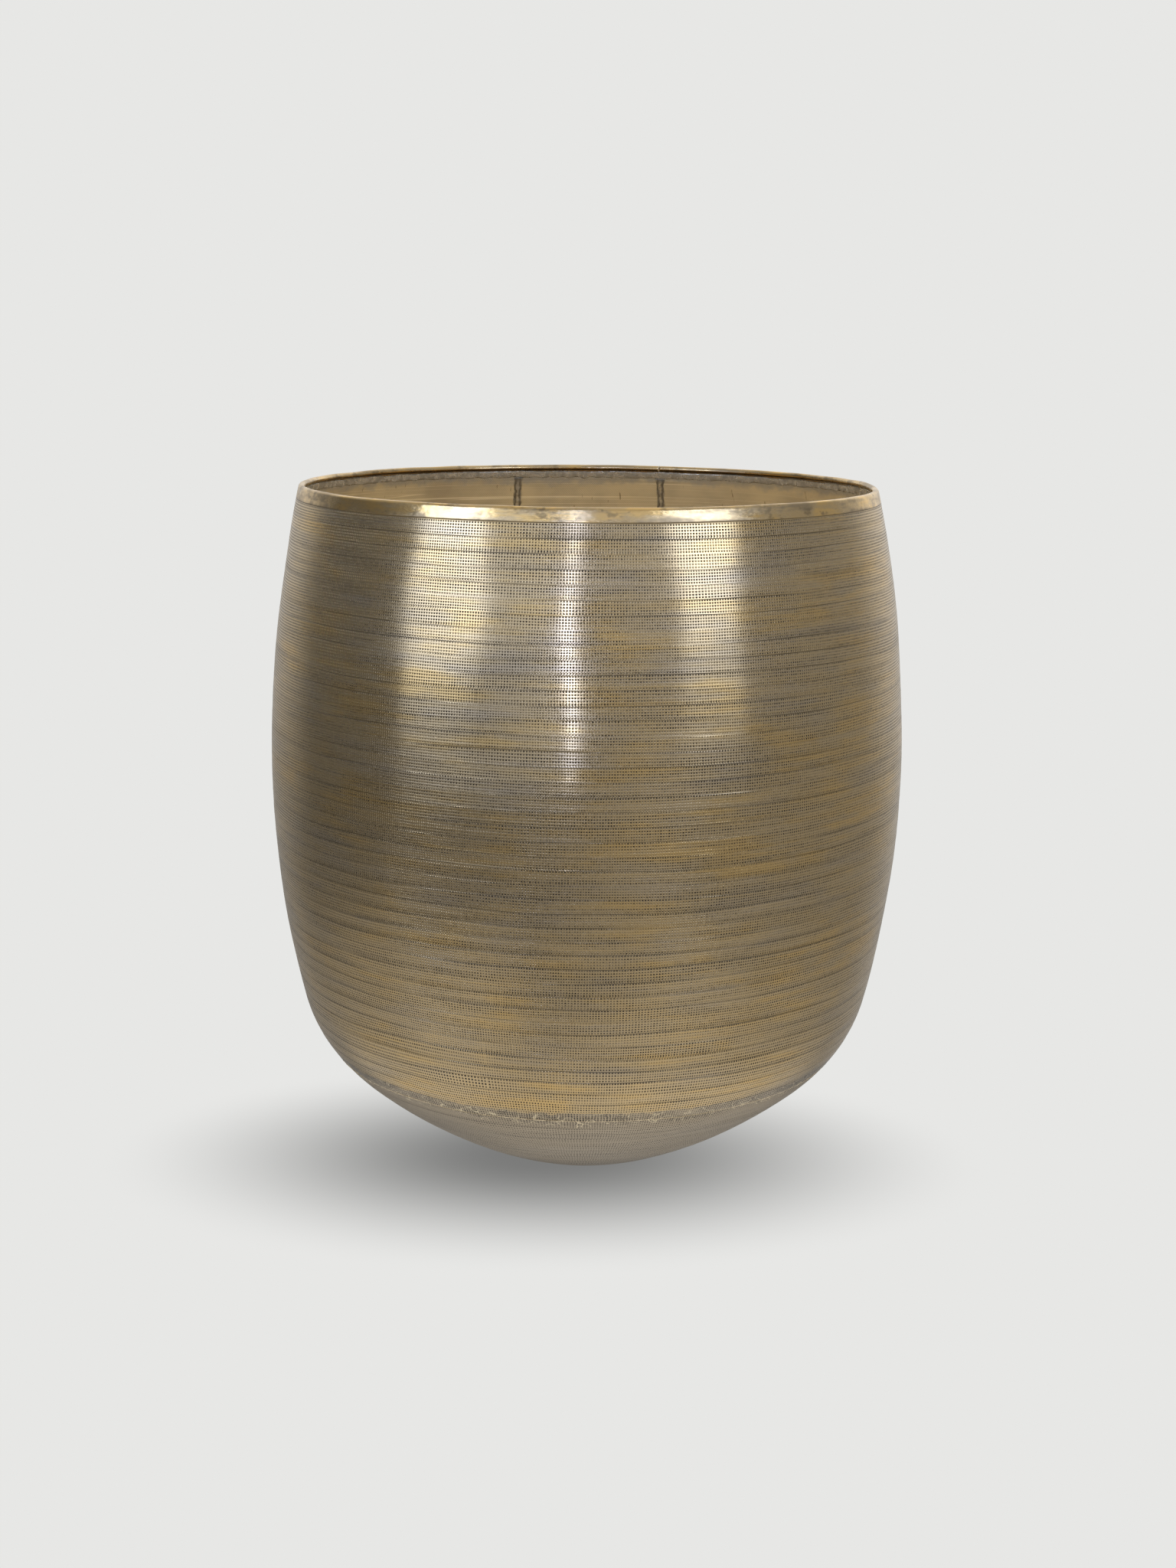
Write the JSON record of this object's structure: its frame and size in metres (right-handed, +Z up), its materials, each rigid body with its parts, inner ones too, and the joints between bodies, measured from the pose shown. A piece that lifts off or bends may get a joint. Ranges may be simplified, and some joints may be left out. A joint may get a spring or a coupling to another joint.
{
  "type": "planter pot",
  "caption": "Large round-bottomed brass planter pot with rolled dot texture, smooth wired rim and a small standing flat.",
  "frame": {"origin": "middle of the flat that the pot stands on", "axes": "+Z up along the pot's axis, front towards -Y, upright seams at the back towards +Y"},
  "size_m": [0.4, 0.4, 0.432],
  "materials": {
    "textured_brass": "knurled, patinated, satin",
    "bowl_brass": "hatched, patinated, matt",
    "rim_brass": "smooth, polished, tarnished",
    "rim_wire": "drawn",
    "braze": "flux-stained",
    "solder": "dull grey"
  },
  "bodies": {
    "root": {"wall_sheet": "textured_brass", "wall_filler_strip": "textured_brass", "seam_braze_left": "braze", "seam_braze_right": "braze", "base_bowl": "bowl_brass", "base_seam_braze": "braze", "rim_band": "rim_brass", "rim_joint_braze": "braze", "rim_wire": "rim_wire", "rim_solder": "solder"}
  },
  "joints": []
}
